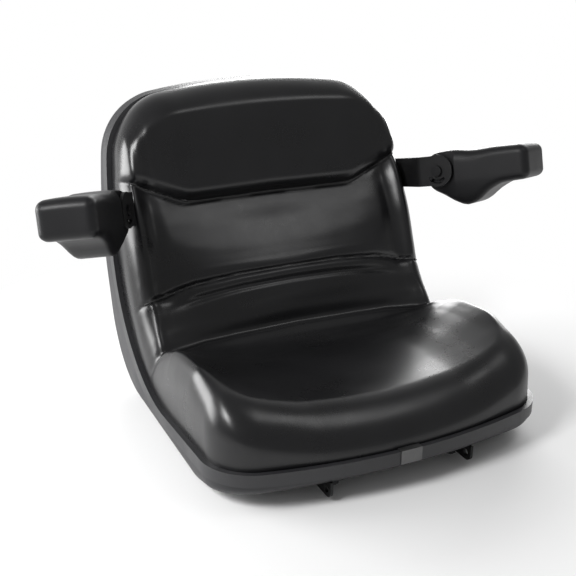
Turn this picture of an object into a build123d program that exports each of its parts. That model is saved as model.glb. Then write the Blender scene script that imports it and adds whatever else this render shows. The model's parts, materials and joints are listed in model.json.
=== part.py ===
"""Garden tractor seat: a cushion in a pressed pan with an edge trim, pivot lugs and flip-up armrests.

Millimetres. The origin is the middle of the pivot axis through the two front lugs. +X runs to the right
of someone who faces the seat, +Y points to the back of the seat, +Z points up.
"""

import os
from math import atan2, cos, radians, sin, sqrt, tan

from build123d import *

os.makedirs("parts", exist_ok=True)

# Pan, pressed from one sheet
pan_wall = 1.5
pan_half_width = 262.0
pan_front = -25.0
pan_edge_radius = 20.0
front_bow_radius = 770.0
front_corner_radius = 80.0
rim_front_height = 44.0
rim_fall = 4.5
rim_length = 423.0
rim_recline = 20.7
rim_heel_radius = 220.0
floor_height = -18.0
front_skin_height = 18.0
front_slope_length = 140.0
front_slope_radius = 90.0
back_foot = 487.0
back_recline = 15.1
heel_radius = 150.0
taper_start = 155.0
taper_radius = 1250.0
top_height = 447.0
top_arch_radius = 1100.0
top_corner_radius = 107.0

# How far construction outlines run past the pan
front_reach = 60.0
back_reach = 560.0
side_reach = 400.0
far = 900.0

# Edge trim and its clip
trim_wall = 3.0
trim_depth = 16.0
trim_inner_depth = 8.0
trim_fit = 0.3
trim_joint = 1.0
clip_length = 33.0
clip_wall = 1.2
clip_fit = 0.1

# Cushion
cushion_gap = 0.3
cushion_edge_radius = 42.0
bolster_height = 150.0
bolster_front_height = 143.0
bolster_back = 204.0
bolster_back_height = 145.0
crease_y = 300.0
crease_height = 90.0
crease_radius = 55.0
shoulder_y = 441.0
shoulder_height = 329.0
shoulder_recline = 12.0
shoulder_radius = 200.0

dish_half_width = 165.0
dish_depth = 45.0
dish_front_height = 106.0
dish_corner = (290.0, 84.0)
dish_shoulder = (462.0, 300.0)
dish_end = (425.0, 560.0)
dish_front_radius = 45.0
dish_corner_radius = 110.0
dish_shoulder_radius = 120.0
dish_clear = 55.0

# Holes in the pan's floor with weld nuts for the machine's rails, and drain holes
rail_spacing_x = 180.0
rail_spacing_y = 180.0
rail_centre_y = 245.0
rail_hole_radius = 4.5
nut_across = 13.0
nut_height = 6.5
thread_radius = 3.4
drain_spacing = 300.0
drain_radius = 6.0
pocket_clear = 1.0

# Front pivot brackets: lugs folded from plate, bolted under the sloping front of the pan
lug_x = 112.5
lug_wall = 4.0
lug_bore_radius = 5.25
lug_nose = 12.0
lug_drop = 11.5
lug_length = 70.0
flange_width = 30.0
flange_start = 26.0
flange_length = 76.0
lug_bolt_spacing = 40.0

# Bolts: shank, head and nut sizes shared by the pan's fasteners
bolt_radius = 4.0
bolt_hole_radius = 4.3
head_radius = 8.5
head_height = 3.5
bolt_tail = 1.5
washer_radius = 8.5
washer_wall = 1.6

# Arm brackets: straps bolted behind the pan's back, bent round its side and splayed outwards
arm_splay = 31.5
strap_wall = 5.0
strap_height = 50.0
strap_height_on_back = 255.0
strap_length_on_back = 122.0
strap_side_gap = 13.0
strap_corner_x = pan_half_width + strap_side_gap
strap_bend_radius = 14.0
strap_bolt_in = (100.0, 44.0)
pivot_side_gap = 5.5
pivot_x = pan_half_width + pivot_side_gap
pivot_ahead = 218.0
ear_radius = 27.0
ear_neck = 34.0

# Arm pivots and pads
pivot_radius = 5.0
pivot_clear = 0.05
ear_hole_clear = 0.2
bush_wall = 2.0
tube_wall = 3.0
pivot_head_radius = 9.0
pivot_head_height = 5.0
pivot_washer_radius = 12.5
pivot_washer_wall = 1.5
arm_clear = 0.3
core_wall = 5.0
core_half_height = 20.0
core_back = 15.0
core_front = 112.0
tube_length = 43.0
pocket_radius = 13.5
cap_wall = 10.0
cap_clear = 0.1
stop_radius = 3.0
stop_clear = 0.35
stop_reach = 18.0
stop_angle = 225.0
arm_travel = 80.0
pad_width = 78.0
pad_back = 20.0
pad_front = 147.0
pad_top = 30.0
pad_nose_drop = 54.0
pad_belly_x = 43.0
pad_belly_drop = 92.0
pad_root_drop = 62.0
pad_rebate = 31.0
pad_belly_run = 45.0
pad_belly_neck = 12.0
pivot_nut_across = 17.0
pad_edge_radius = 11.0


def shifted(points, left):
    """The polyline with every run moved to its left, its ends square to their runs."""
    runs = [(Vector(b) - Vector(a)).normalized() for a, b in zip(points, points[1:])]
    sides = [Vector(-run.Y, run.X) for run in runs]
    moved = [Vector(points[0]) + sides[0] * left]
    for point, a, b in zip(points[1:], sides, sides[1:]):
        moved.append(Vector(point) + (a + b) * (left / (1 + a.dot(b))))
    moved.append(Vector(points[-1]) + sides[-1] * left)
    return moved


def leaning(foot, recline, length):
    """The end of a run of the side view that leans back from the vertical."""
    return (foot[0] + length * sin(radians(recline)), foot[1] + length * cos(radians(recline)))


# Side view of the pan's edge and of its skin, as (y, z) corners from the front to the top
rim_heel = (pan_front + rim_length, rim_front_height - rim_length * tan(radians(rim_fall)))
rim_start = (pan_front - front_reach, rim_front_height + front_reach * tan(radians(rim_fall)))
rim_run = [rim_start, rim_heel, leaning(rim_heel, rim_recline, back_reach)]
front_slope = (front_skin_height - floor_height) / front_slope_length
skin_start = (pan_front - front_reach, front_skin_height + front_reach * front_slope)
skin_heel = (back_foot, floor_height)
skin_run = [
    skin_start,
    (pan_front + front_slope_length, floor_height),
    skin_heel,
    leaning(skin_heel, back_recline, back_reach),
]


def rim_line(lift):
    """Draws the rim's side view, moved towards the sitter by lift, and returns its two ends."""
    points = shifted(rim_run, lift)
    FilletPolyline(*points, radius=rim_heel_radius - lift)
    return points[0], points[-1]


def skin_line(inset):
    """Draws the skin's side view, moved into the pan by inset, and returns its two ends."""
    points = shifted(skin_run, inset)
    FilletPolyline(*points, radius=[front_slope_radius - inset, heel_radius - inset])
    return points[0], points[-1]


def top_line(lift):
    """Draws the side view of the cushion's top over its bolsters and returns its two ends."""
    crease = (crease_y, crease_height)
    shoulder = (shoulder_y, shoulder_height)
    points = shifted(
        [
            (pan_front - front_reach, bolster_front_height),
            (0.0, bolster_height),
            (bolster_back, bolster_back_height),
            crease,
            shoulder,
            leaning(shoulder, shoulder_recline, back_reach),
        ],
        lift,
    )
    FilletPolyline(*points, radius=[far, crease_radius, crease_radius, shoulder_radius])
    return points[0], points[-1]


def side_view(lower, lower_shift, upper, upper_shift):
    """The closed side view between two of the lines above."""
    with BuildSketch(Plane.YZ) as view:
        with BuildLine():
            low_front, low_back = lower(lower_shift)
            high_front, high_back = upper(upper_shift)
            Line(low_front, high_front)
            Line(low_back, high_back)
        make_face()
    return view.sketch


def plan_view(inset):
    """The pan's plan, moved in by inset: a bowed front edge with rounded corners."""
    half = pan_half_width - inset
    front = pan_front + inset
    radius = front_bow_radius - inset
    bow = radius - sqrt(radius**2 - half**2)
    with BuildSketch(Plane.XY.offset(-far)) as view:
        with BuildLine():
            ThreePointArc((-half, front + bow), (0, front), (half, front + bow))
            Polyline((half, front + bow), (half, far), (-half, far), (-half, front + bow))
        make_face()
        fillet(view.vertices().group_by(Axis.Y)[0], front_corner_radius - inset)
    return view.sketch


def front_view(inset):
    """The pan's front view, moved in by inset: sides that draw in to an arched top with round corners."""
    foot = pan_half_width - inset
    top = top_height - inset
    side_radius = taper_radius - inset
    arch_radius = top_arch_radius - inset
    shoulder = top
    for _ in range(6):
        half = foot - side_radius + sqrt(side_radius**2 - (shoulder - taper_start) ** 2)
        shoulder = top - arch_radius + sqrt(arch_radius**2 - half**2)
    with BuildSketch(Plane.XZ.offset(-far)) as view:
        with BuildLine():
            Polyline((-foot, taper_start), (-foot, -far), (foot, -far), (foot, taper_start))
            TangentArc((foot, taper_start), (half, shoulder), tangent=(0, 1))
            TangentArc((-foot, taper_start), (-half, shoulder), tangent=(0, 1))
            ThreePointArc((-half, shoulder), (0, top), (half, shoulder))
        make_face()
        fillet(view.vertices().group_by(Axis.Y)[-1], top_corner_radius - inset)
    return view.sketch


def pan_prism(view, inset):
    """The side view spread over the pan's width and trimmed to its plan and front view."""
    with BuildPart() as prism:
        extrude(view, amount=side_reach, both=True)
        extrude(plan_view(inset), amount=2 * far, mode=Mode.INTERSECT)
        extrude(front_view(inset), amount=2 * far, mode=Mode.INTERSECT)
    return prism.part


def edges_on(solid, line, shift):
    """The edges of a pan prism that follow the given side line all round the pan."""
    with BuildLine() as track:
        line(shift)
    wire = track.line
    found = []
    for edge in solid.edges():
        across = edge.geom_type == GeomType.LINE and abs((edge @ 1 - edge @ 0).normalized().X) > 0.999
        middle = edge @ 0.5
        if not across and wire.distance_to(Vector(middle.Y, middle.Z)) < 0.01:
            found.append(edge)
    return found


def bowl(inset, lift):
    """The pan's form with its skin moved in by inset, open side raised by lift, edges rounded."""
    with BuildPart() as form:
        add(pan_prism(side_view(skin_line, inset, rim_line, lift), inset))
        fillet(edges_on(form.part, skin_line, inset), pan_edge_radius - inset)
    return form.part


def band(inset, low, high):
    """A ring-shaped block under the rim line: the pan's outline moved in by inset, between two heights."""
    return pan_prism(side_view(rim_line, low, rim_line, high), inset)


def channel(outer, inner, top, wall):
    """A U channel over the pan's edge; outer, inner and top are the faces of what it wraps."""
    past = trim_depth + wall
    with BuildPart() as ring:
        add(band(outer - wall, -trim_depth, top + wall))
        add(band(inner + wall, -past, top + past), mode=Mode.SUBTRACT)
    with BuildPart() as slot:
        add(band(outer, -past, top))
        add(band(inner, -past - wall, top + past), mode=Mode.SUBTRACT)
    with BuildPart() as profile:
        add(ring.part)
        add(slot.part, mode=Mode.SUBTRACT)
        add(band(inner, -past, -trim_inner_depth), mode=Mode.SUBTRACT)
    return profile.part


def fastener_places(plane, points):
    """The given points of a plane as locations, with +Z along the plane's normal."""
    return [plane * Location(point) for point in points]


# Places of the fasteners: the pan's floor, its sloping front and its back, all facing outwards
floor_plane = Plane((0, rail_centre_y, floor_height), x_dir=(1, 0, 0), z_dir=(0, 0, -1))
rail_places = [
    floor_plane * Location((x * rail_spacing_x / 2, y * rail_spacing_y / 2))
    for x in (-1, 1)
    for y in (-1, 1)
]
slope_tilt = atan2(front_skin_height - floor_height, front_slope_length)
slope_plane = Plane(
    (0, pan_front, front_skin_height), x_dir=(1, 0, 0), z_dir=(0, -sin(slope_tilt), -cos(slope_tilt))
)
lug_bolt_x = lug_x - lug_wall / 2 - flange_width / 2
lug_bolt_middle = -(flange_start + flange_length / 2)
lug_places = fastener_places(
    slope_plane,
    [
        (side * lug_bolt_x, lug_bolt_middle + end * lug_bolt_spacing / 2)
        for side in (-1, 1)
        for end in (-1, 1)
    ],
)
lean = radians(back_recline)
back_up = Vector(0, sin(lean), cos(lean))
back_out = Vector(0, cos(lean), -sin(lean))
strap_foot_y = back_foot + (strap_height_on_back - floor_height) * tan(lean)
back_plane = Plane((0, strap_foot_y, strap_height_on_back), x_dir=(1, 0, 0), z_dir=back_out)
strap_places = fastener_places(back_plane, [(side * (pan_half_width - x), 0) for side in (-1, 1) for x in strap_bolt_in])

with BuildPart() as seat_pan:
    add(bowl(0, 0))
    add(bowl(pan_wall, pan_edge_radius), mode=Mode.SUBTRACT)
    with Locations(*lug_places, *strap_places):
        Cylinder(bolt_hole_radius, 6 * pan_wall, mode=Mode.SUBTRACT)
    with Locations(*rail_places):
        Cylinder(rail_hole_radius, 6 * pan_wall, mode=Mode.SUBTRACT)
    with Locations(floor_plane):
        with GridLocations(drain_spacing, rail_spacing_y / 2, 2, 2):
            Cylinder(drain_radius, 6 * pan_wall, mode=Mode.SUBTRACT)

# The trim is pushed over the pan's edge, and its two ends meet at the front
trim_outer = -trim_fit
trim_inner = pan_wall + trim_fit
with BuildPart() as edge_trim:
    add(channel(trim_outer, trim_inner, trim_fit, trim_wall))
    with Locations((0, pan_front, rim_front_height)):
        Box(trim_joint, front_corner_radius, front_corner_radius, mode=Mode.SUBTRACT)

clip_outer = trim_outer - trim_wall - clip_fit
clip_inner = trim_inner + trim_wall + clip_fit
clip_top = trim_fit + trim_wall + clip_fit
with BuildPart() as trim_clip:
    add(channel(clip_outer, clip_inner, clip_top, clip_wall))
    with Locations((0, pan_front, rim_front_height)):
        Box(clip_length, front_corner_radius, front_corner_radius, mode=Mode.INTERSECT)

# The cushion fills the pan inside the trim and swells over it
cushion_inset = clip_inner + clip_wall + cushion_gap
cushion_foot = pan_wall + cushion_gap
head_pocket = pan_wall + head_height + pocket_clear
nut_pocket = pan_wall + nut_height + pocket_clear
with BuildLine() as dish_path:
    FilletPolyline(
        (pan_front + cushion_inset, floor_height),
        (pan_front + cushion_inset, dish_front_height),
        dish_corner,
        dish_shoulder,
        dish_end,
        radius=[dish_front_radius, dish_corner_radius, dish_shoulder_radius],
    )
dish_route = Plane.YZ * dish_path.line
with BuildPart() as cushion:
    add(pan_prism(side_view(skin_line, cushion_foot, top_line, 0), cushion_inset))
    fillet(edges_on(cushion.part, skin_line, cushion_foot), pan_edge_radius - cushion_foot)
    fillet(edges_on(cushion.part, top_line, 0), cushion_edge_radius)
    with BuildSketch(Plane(dish_route @ 0, x_dir=(-1, 0, 0), z_dir=dish_route % 0)) as dish:
        with BuildLine():
            ThreePointArc((-dish_half_width, dish_depth), (0, 0), (dish_half_width, dish_depth))
            Polyline(
                (dish_half_width, dish_depth),
                (dish_half_width, dish_depth + dish_clear),
                (-dish_half_width, dish_depth + dish_clear),
                (-dish_half_width, dish_depth),
            )
        make_face()
    sweep(dish.sketch, path=dish_route, mode=Mode.SUBTRACT)
    with Locations(*lug_places, *strap_places):
        Cylinder(head_radius + pocket_clear, 2 * head_pocket, mode=Mode.SUBTRACT)
    with Locations(*rail_places):
        Cylinder(nut_across, 2 * nut_pocket, mode=Mode.SUBTRACT)

# Weld nuts stand on the inside of the pan's floor
with BuildPart() as rail_nuts:
    for place in rail_places:
        with BuildSketch(Plane(place).offset(-pan_wall)):
            RegularPolygon(nut_across / 2, 4, major_radius=False)
            Circle(thread_radius, mode=Mode.SUBTRACT)
    extrude(amount=-nut_height)


def bolts(places, grip):
    """Round-headed bolts, heads inside the pan, shanks through the pan and what it carries."""
    with BuildPart() as group:
        for place in places:
            seat = Plane(place).offset(-pan_wall)
            with BuildSketch(seat):
                Circle(head_radius)
            extrude(amount=-head_height)
            with BuildSketch(seat):
                Circle(bolt_radius)
            extrude(amount=pan_wall + grip + washer_wall + nut_height + bolt_tail)
    return group


def washers(places, grip):
    """Flat washers on the outer face of what the bolts hold."""
    with BuildPart() as group:
        for place in places:
            with BuildSketch(Plane(place).offset(grip)):
                Circle(washer_radius)
                Circle(bolt_hole_radius, mode=Mode.SUBTRACT)
            extrude(amount=washer_wall)
    return group


def nuts(places, grip):
    """Hexagon nuts on the washers, bored to the bolts' shank."""
    with BuildPart() as group:
        for place in places:
            with BuildSketch(Plane(place).offset(grip + washer_wall)):
                RegularPolygon(nut_across / 2, 6, major_radius=False)
                Circle(bolt_radius, mode=Mode.SUBTRACT)
            extrude(amount=nut_height)
    return group


lug_bolts = bolts(lug_places, lug_wall)
lug_washers = washers(lug_places, lug_wall)
lug_nuts = nuts(lug_places, lug_wall)
strap_bolts = bolts(strap_places, strap_wall)
strap_washers = washers(strap_places, strap_wall)
strap_nuts = nuts(strap_places, strap_wall)

# Right pivot bracket: an upright lug with a bore on the X axis, and a flange under the pan's slope
lug_tail = lug_nose + lug_length
with BuildPart() as right_pivot_bracket:
    with BuildSketch(Plane.YZ.offset(lug_x - lug_wall / 2)):
        with BuildLine():
            Line((-lug_nose, front_skin_height), (-lug_nose, 0))
            EllipticalCenterArc((0, 0), lug_nose, lug_drop, start_angle=180, arc_size=90)
            Polyline(
                (0, -lug_drop),
                (lug_tail, -lug_drop),
                (lug_tail, front_skin_height),
                (-lug_nose, front_skin_height),
            )
        make_face()
    extrude(amount=lug_wall)
    with BuildSketch(slope_plane):
        with Locations((lug_x - lug_wall / 2 - flange_width / 2, lug_bolt_middle)):
            Rectangle(flange_width, flange_length)
    extrude(amount=lug_wall)
    with BuildSketch(slope_plane):
        Rectangle(far, far)
    extrude(amount=-far, mode=Mode.SUBTRACT)
    with Locations(*lug_places[2:]):
        Cylinder(bolt_hole_radius, 4 * lug_wall, mode=Mode.SUBTRACT)
    with Locations(Plane.YZ.offset(lug_x)):
        Cylinder(lug_bore_radius, 2 * lug_wall, mode=Mode.SUBTRACT)

# Right arm bracket: the strap is drawn square to the pan's back and extruded up along it
splay = radians(arm_splay)
strap_plane = Plane(back_plane.origin, x_dir=(1, 0, 0), z_dir=back_up)
ear_middle = Vector(pivot_x + strap_wall / 2 * cos(splay), -pivot_ahead + strap_wall / 2 * sin(splay))
neck = ear_middle + Vector(-sin(splay), cos(splay)) * ear_neck
strap_run = [
    (pan_half_width - strap_length_on_back, strap_wall / 2),
    (strap_corner_x, strap_wall / 2),
    (neck.X, neck.Y),
    (ear_middle.X, ear_middle.Y),
]
forward = Vector(1, 0, 0) * sin(splay) - back_out * cos(splay)
inward = Vector(1, 0, 0) * -cos(splay) - back_out * sin(splay)
arm_origin = strap_plane.from_local_coords(Vector(pivot_x, -pivot_ahead, 0))
arm_plane = Plane(arm_origin, x_dir=forward, z_dir=inward)
with BuildPart() as right_arm_bracket:
    with BuildSketch(strap_plane.offset(-strap_height / 2)):
        with BuildLine():
            sides = []
            for shift in (strap_wall / 2, -strap_wall / 2):
                points = shifted(strap_run, shift)
                FilletPolyline(*points, radius=[strap_bend_radius + shift, strap_bend_radius - shift])
                sides.append(points)
            Line(sides[0][0], sides[1][0])
            Line(sides[0][-1], sides[1][-1])
        make_face()
    extrude(amount=strap_height)
    with BuildSketch(arm_plane):
        Circle(ear_radius)
    extrude(amount=-strap_wall)
    with Locations(arm_plane):
        Cylinder(pivot_radius + ear_hole_clear, 4 * strap_wall, mode=Mode.SUBTRACT)
    with BuildSketch(arm_plane.offset(strap_wall)):
        with BuildLine(mode=Mode.PRIVATE) as slot_arc:
            CenterArc((0, 0), stop_reach, stop_angle, arm_travel)
        SlotArc(slot_arc.edge(), 2 * (stop_radius + stop_clear))
    extrude(amount=-3 * strap_wall, mode=Mode.SUBTRACT)
    with Locations(*strap_places[2:]):
        Cylinder(bolt_hole_radius, 4 * strap_wall, mode=Mode.SUBTRACT)

# Right arm pivot, laid out from the pad's inner face outwards, each face a distance below the arm plane
washer_face = strap_wall
core_face = washer_face + pivot_washer_wall + arm_clear
tube_end = core_face + tube_length
outer_washer_face = tube_end + arm_clear
nut_face = outer_washer_face + pivot_washer_wall
bolt_end = nut_face + nut_height + bolt_tail
bush_radius = pivot_radius + pivot_clear + bush_wall
tube_radius = bush_radius + tube_wall


def arm_disc(face, thickness, radius, bore):
    """A round piece on the pivot, from a face below the arm plane outwards, with a bore if it has one."""
    with BuildPart() as disc:
        with BuildSketch(arm_plane.offset(-face)):
            Circle(radius)
            if bore:
                Circle(bore, mode=Mode.SUBTRACT)
        extrude(amount=-thickness)
    return disc


washer_bore = pivot_radius + ear_hole_clear
right_pivot_bush = arm_disc(core_face, tube_length, bush_radius, pivot_radius + pivot_clear)
right_inner_washer = arm_disc(washer_face, pivot_washer_wall, pivot_washer_radius, washer_bore)
right_outer_washer = arm_disc(outer_washer_face, pivot_washer_wall, pivot_washer_radius, washer_bore)
right_pivot_cap = arm_disc(pad_width - cap_wall, cap_wall, pocket_radius - cap_clear, 0)
with BuildPart() as right_pivot_nut:
    with BuildSketch(arm_plane.offset(-nut_face)):
        RegularPolygon(pivot_nut_across / 2, 6, major_radius=False)
        Circle(pivot_radius, mode=Mode.SUBTRACT)
    extrude(amount=-nut_height)
with BuildPart() as right_pivot_bolt:
    with BuildSketch(arm_plane):
        Circle(pivot_head_radius)
    extrude(amount=pivot_head_height)
    with BuildSketch(arm_plane):
        Circle(pivot_radius)
    extrude(amount=-bolt_end)

stop_place = (stop_reach * cos(radians(stop_angle)), stop_reach * sin(radians(stop_angle)))
with BuildPart() as right_stop_pin:
    with BuildSketch(arm_plane):
        with Locations(stop_place):
            Circle(stop_radius)
    extrude(amount=-core_face - core_wall)

with BuildPart() as right_pad_core:
    with BuildSketch(arm_plane.offset(-core_face)):
        with Locations(((core_front - core_back) / 2, 0)):
            RectangleRounded(core_front + core_back, 2 * core_half_height, core_half_height / 2)
        Circle(bush_radius, mode=Mode.SUBTRACT)
        with Locations(stop_place):
            Circle(stop_radius, mode=Mode.SUBTRACT)
    extrude(amount=-core_wall)
    with BuildSketch(arm_plane.offset(-core_face)):
        Circle(tube_radius)
        Circle(bush_radius, mode=Mode.SUBTRACT)
    extrude(amount=-tube_length)

# Right arm pad: a moulded pad with a belly under its middle, cut away for the ear, core and pivot
pad_nose_bottom = pad_top - pad_nose_drop
pad_root_bottom = pad_top - pad_root_drop
with BuildPart() as right_arm_pad:
    with BuildSketch(arm_plane):
        with BuildLine():
            Spline(
                (pad_front, pad_nose_bottom),
                (pad_belly_x + pad_belly_run, pad_nose_bottom - pad_belly_neck),
                (pad_belly_x, pad_top - pad_belly_drop),
                (-pad_back, pad_root_bottom),
                tangents=[(-1, 0), (-1, 0)],
            )
            Polyline(
                (-pad_back, pad_root_bottom),
                (-pad_back, pad_top),
                (pad_front, pad_top),
                (pad_front, pad_nose_bottom),
            )
        make_face()
    extrude(amount=-pad_width)
    fillet(right_arm_pad.edges(), pad_edge_radius)
    with BuildSketch(arm_plane):
        with Locations((-far / 2 + pad_rebate, 0)):
            Rectangle(far, far)
    extrude(amount=-core_face, mode=Mode.SUBTRACT)
    add(right_pad_core.part, mode=Mode.SUBTRACT)
    add(right_stop_pin.part, mode=Mode.SUBTRACT)
    with BuildSketch(arm_plane.offset(-core_face)):
        Circle(bush_radius)
    extrude(amount=-tube_length, mode=Mode.SUBTRACT)
    with BuildSketch(arm_plane.offset(-tube_end)):
        Circle(pocket_radius)
    extrude(amount=-pad_width, mode=Mode.SUBTRACT)

pieces = {
    "seat_pan": seat_pan,
    "edge_trim": edge_trim,
    "trim_clip": trim_clip,
    "cushion": cushion,
    "rail_nuts": rail_nuts,
    "lug_bolts": lug_bolts,
    "lug_washers": lug_washers,
    "lug_nuts": lug_nuts,
    "strap_bolts": strap_bolts,
    "strap_washers": strap_washers,
    "strap_nuts": strap_nuts,
}
handed_pieces = {
    "pivot_bracket": right_pivot_bracket,
    "arm_bracket": right_arm_bracket,
    "pivot_bolt": right_pivot_bolt,
    "inner_washer": right_inner_washer,
    "outer_washer": right_outer_washer,
    "pivot_nut": right_pivot_nut,
    "pivot_bush": right_pivot_bush,
    "pivot_cap": right_pivot_cap,
    "stop_pin": right_stop_pin,
    "pad_core": right_pad_core,
    "arm_pad": right_arm_pad,
}
for name, piece in handed_pieces.items():
    pieces[f"right_{name}"] = piece
    with BuildPart() as left_piece:
        add(mirror(piece.part, about=Plane.YZ, mode=Mode.PRIVATE))
    pieces[f"left_{name}"] = left_piece

for node, piece in pieces.items():
    piece.part.label = node
    export_step(piece.part, f"parts/{node}.step")
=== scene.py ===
"""Dresses the garden tractor seat: moulded cushion, arm pads, metal finishes, studio and camera.

Sizes are in millimetres until a mesh is made, and metres in Blender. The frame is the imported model's own:
+X to the right of someone who faces the seat, +Y to its back, +Z up.
"""

from __future__ import annotations

import json
import logging
import math
from dataclasses import dataclass, field
from enum import Enum

import bmesh
import bpy
import numpy as np
from mathutils import Matrix, Vector

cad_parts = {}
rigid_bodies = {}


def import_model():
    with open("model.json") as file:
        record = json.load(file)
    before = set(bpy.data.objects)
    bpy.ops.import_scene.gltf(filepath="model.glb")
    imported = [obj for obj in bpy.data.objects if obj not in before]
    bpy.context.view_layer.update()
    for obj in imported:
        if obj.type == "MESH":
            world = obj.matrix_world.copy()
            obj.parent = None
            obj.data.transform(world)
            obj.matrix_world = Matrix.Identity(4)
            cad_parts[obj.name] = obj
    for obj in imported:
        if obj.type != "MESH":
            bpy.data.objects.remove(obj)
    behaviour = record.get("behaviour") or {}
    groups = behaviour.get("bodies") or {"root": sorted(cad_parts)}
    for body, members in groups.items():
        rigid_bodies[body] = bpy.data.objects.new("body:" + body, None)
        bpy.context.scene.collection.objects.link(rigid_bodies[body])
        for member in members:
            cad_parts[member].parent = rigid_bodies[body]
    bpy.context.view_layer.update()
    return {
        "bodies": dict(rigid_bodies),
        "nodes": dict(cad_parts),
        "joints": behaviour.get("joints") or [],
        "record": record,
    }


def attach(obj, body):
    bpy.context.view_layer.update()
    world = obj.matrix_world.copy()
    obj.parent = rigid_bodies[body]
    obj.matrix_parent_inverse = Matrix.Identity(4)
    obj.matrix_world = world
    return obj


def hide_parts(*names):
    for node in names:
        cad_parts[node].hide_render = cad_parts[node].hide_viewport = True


LOG = logging.getLogger("tractor_seat")
MM = 0.001
SEAT_BODY = "seat"
WHITE = (1.0, 1.0, 1.0, 1.0)


class Side(Enum):
    """The two armrests, by the sign of their X."""

    RIGHT = 1
    LEFT = -1

    @property
    def prefix(self) -> str:
        """The side's word in node and body names."""
        return self.name.lower()


def ease(value: np.ndarray, start: float, end: float) -> np.ndarray:
    """A smooth step from 0 at start to 1 at end.

    Args:
        value: Where the step is read.
        start: Where it leaves 0.
        end: Where it reaches 1; may be less than start.

    Returns:
        The step, between 0 and 1.
    """
    t = np.clip((np.asarray(value, float) - start) / (end - start), 0.0, 1.0)
    return t * t * (3.0 - 2.0 * t)


def rolled(distance: np.ndarray, radius: float | np.ndarray) -> np.ndarray:
    """A quarter-round edge: 0 at the edge, 1 from radius on, with an upright tangent at the edge."""
    t = np.clip(np.asarray(distance, float) / radius, 0.0, 1.0)
    return np.sqrt(np.clip(1.0 - (1.0 - t) ** 2, 0.0, 1.0))


def bell(offset: np.ndarray, width: float) -> np.ndarray:
    """A smooth hump: 1 in its middle, falling off to both sides."""
    return np.exp(-((offset / width) ** 2))


def spread(t: np.ndarray, crowding: float) -> np.ndarray:
    """Moves even values in -1 to 1 closer together towards both ends."""
    return t * (1.0 + crowding) - crowding * t**3


def through(knots: np.ndarray, values: np.ndarray, at: np.ndarray) -> np.ndarray:
    """A smooth curve through knots that doesn't overshoot between them.

    Args:
        knots: Rising positions, one axis.
        values: A value per knot, or an array of them with the knots on its first axis.
        at: Where to read the curve, one per column of values.

    Returns:
        The curve's value at each place.
    """
    knots = np.asarray(knots, float)
    at = np.clip(np.asarray(at, float), knots[0], knots[-1])
    values = np.asarray(values, float)
    if values.ndim == 1:
        values = np.repeat(values[:, None], at.size, axis=1)
    gaps = np.diff(knots)[:, None]
    slopes = np.diff(values, axis=0) / gaps
    tangents = np.zeros_like(values)
    same = slopes[:-1] * slopes[1:] > 0
    safe = np.where(same, slopes[:-1] + slopes[1:], 1.0)
    tangents[1:-1] = np.where(same, 2.0 * slopes[:-1] * slopes[1:] / safe, 0.0)
    tangents[-1] = slopes[-1]
    k = np.clip(np.searchsorted(knots, at, side="right") - 1, 0, len(knots) - 2)
    column = np.arange(at.size)
    gap = gaps[k, 0]
    t = (at - knots[k]) / gap
    low, high = values[k, column], values[k + 1, column]
    leave, arrive = tangents[k, column] * gap, tangents[k + 1, column] * gap
    return (
        low * (1 + 2 * t) * (1 - t) ** 2
        + leave * t * (1 - t) ** 2
        + high * t * t * (3 - 2 * t)
        - arrive * t * t * (1 - t)
    )


def read_points(verts: list[bmesh.types.BMVert]) -> np.ndarray:
    """The vertices' places as an array."""
    return np.array([v.co for v in verts], float)


def spot_of(vert: bmesh.types.BMVert, digits: int = 7) -> tuple:
    """A vertex's place, rounded so that it serves as a key."""
    return tuple(round(c, digits) for c in vert.co)


def set_points(verts: list[bmesh.types.BMVert], points: np.ndarray) -> None:
    """Moves the vertices to the given places."""
    for vert, point in zip(verts, points):
        vert.co = point


def finished_object(name: str, bm: bmesh.types.BMesh) -> bpy.types.Object:
    """Turns a bmesh into a smooth-shaded object at the origin and links it.

    Args:
        name: The piece's name.
        bm: Its shape, in metres; it is freed.

    Returns:
        The new object.
    """
    bmesh.ops.recalc_face_normals(bm, faces=bm.faces)
    mesh = bpy.data.meshes.new(name)
    bm.to_mesh(mesh)
    bm.free()
    for polygon in mesh.polygons:
        polygon.use_smooth = True
    obj = bpy.data.objects.new(name, mesh)
    bpy.context.scene.collection.objects.link(obj)
    return obj


def dress(obj: bpy.types.Object, material: bpy.types.Material) -> None:
    """Gives an object one material in place of any it has."""
    obj.data.materials.clear()
    obj.data.materials.append(material)


class Wire:
    """A shader socket that takes part in sums and products."""

    def __init__(self, graph: "Graph", socket: bpy.types.NodeSocket) -> None:
        """Keeps the socket and the graph that it is in."""
        self.graph = graph
        self.socket = socket

    def _math(self, operation: str, other: object) -> "Wire":
        """Adds one Math node for an operator."""
        return self.graph.add("ShaderNodeMath", {"operation": operation}, {0: self, 1: other})

    def __add__(self, other: object) -> "Wire":
        """The sum."""
        return self._math("ADD", other)

    def __mul__(self, other: object) -> "Wire":
        """The product."""
        return self._math("MULTIPLY", other)


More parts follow.
